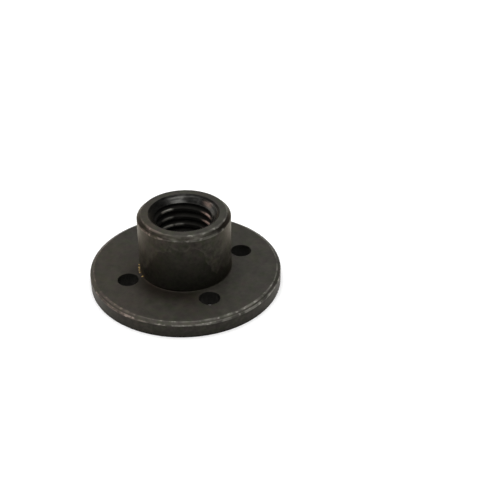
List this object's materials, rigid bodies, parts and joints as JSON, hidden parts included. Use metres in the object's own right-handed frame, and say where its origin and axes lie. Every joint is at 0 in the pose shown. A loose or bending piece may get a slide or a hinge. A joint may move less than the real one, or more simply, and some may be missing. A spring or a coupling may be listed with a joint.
{
  "type": "lock nut",
  "caption": "Round steel lock nut with a threaded hub standing on a wider flange, pierced beside the hub by holes for a pin spanner.",
  "frame": {"origin": "centre of the flange's flat bottom face", "axes": "+Z along the thread, from the flange to the nose of the hub; +X lies 25.2 degrees clockwise of the first spanner hole, seen from the nose"},
  "size_m": [0.047, 0.047, 0.0193],
  "materials": {
    "black_oxide_steel": "turned steel with an oiled black oxide skin, worn bright along its edges"
  },
  "bodies": {
    "root": {"lock_nut": "black_oxide_steel"}
  },
  "joints": []
}
